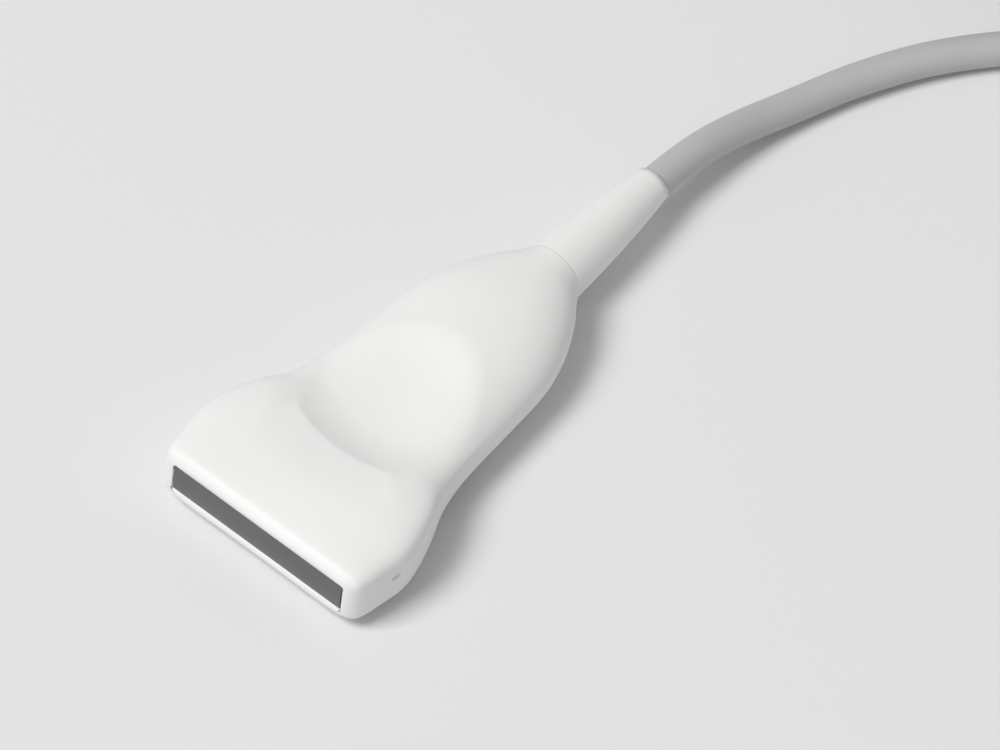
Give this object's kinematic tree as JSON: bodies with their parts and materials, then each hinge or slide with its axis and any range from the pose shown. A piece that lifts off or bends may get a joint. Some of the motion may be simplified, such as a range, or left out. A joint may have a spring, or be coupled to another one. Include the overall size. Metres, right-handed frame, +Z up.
{
  "type": "ultrasound probe",
  "caption": "Linear ultrasound scanning probe with waisted two-shell housing, flat lens window, strain relief, round cable and latching plug.",
  "frame": {"origin": "under the middle of the probe's own box, on the surface that it lies on; the cable, its coil and the plug are left out of that box", "axes": "+Y from the lens to the cable along the probe, +X across the lens, +Z up"},
  "size_m": [0.0901, 0.3361, 0.045],
  "materials": {
    "housing_plastic": "smooth satin moulded off-white plastic",
    "lens_silicone": "smooth grey silicone",
    "matching_resin": "filled cast resin",
    "crystal": "sawn ceramic with thin metal faces",
    "backing_resin": "heavy filled rubbery resin",
    "carrier_plastic": "black moulded plastic",
    "heat_metal": "bare aluminium",
    "flex_film": "amber circuit film",
    "board_laminate": "green glass laminate",
    "connector_plastic": "cream moulded plastic",
    "coax_wire": "bundled fine coaxial wires",
    "shield_metal": "thin tinned sheet",
    "clamp_metal": "crimped steel ring",
    "relief_rubber": "satin off-white soft moulding",
    "cable_jacket": "satin light grey jacket",
    "plug_plastic": "fine textured off-white plastic",
    "screw_steel": "plain steel",
    "shroud_metal": "plated cast metal",
    "gasket": "conductive rubber",
    "block_plastic": "black moulded insulator",
    "contact_gold": "gold plated",
    "lock_metal": "turned steel",
    "knob_plastic": "grey moulded plastic"
  },
  "bodies": {
    "probe": {"upper_shell": "housing_plastic", "lower_shell": "housing_plastic", "acoustic_lens": "lens_silicone", "outer_matching_layer": "matching_resin", "inner_matching_layer": "matching_resin", "crystal_array": "crystal", "backing_block": "backing_resin", "array_carrier": "carrier_plastic", "heat_spreader": "heat_metal", "upper_flex": "flex_film", "lower_flex": "flex_film", "terminal_board": "board_laminate", "board_connectors": "connector_plastic", "upper_coax_bundle": "coax_wire", "lower_coax_bundle": "coax_wire", "inner_shield": "shield_metal", "coax_trunk": "coax_wire", "braid_clamp": "clamp_metal", "strain_relief": "relief_rubber", "cable_lead": "cable_jacket", "cable_coil": "cable_jacket", "cable_tail": "cable_jacket", "plug_upper_shell": "plug_plastic", "plug_lower_shell": "plug_plastic", "plug_screws": "screw_steel", "contact_shroud": "shroud_metal", "shield_gasket": "gasket", "contact_block": "block_plastic", "contact_pads": "contact_gold", "contact_tails": "contact_gold", "plug_board": "board_laminate", "lock_bush": "lock_metal", "plug_strain_relief": "relief_rubber", "plug_coax_bundle": "coax_wire", "plug_braid_clamp": "clamp_metal"},
    "lock": {"lock_shaft": "lock_metal", "latch_bar": "lock_metal", "lock_knob": "knob_plastic"}
  },
  "joints": [
    {"name": "lock_turn", "type": "hinge", "parent": "probe", "child": "lock", "pos_m": [-0.006, 0.20665, 0.033], "axis": [0, 1, 0], "range_deg": [0, 90]}
  ]
}
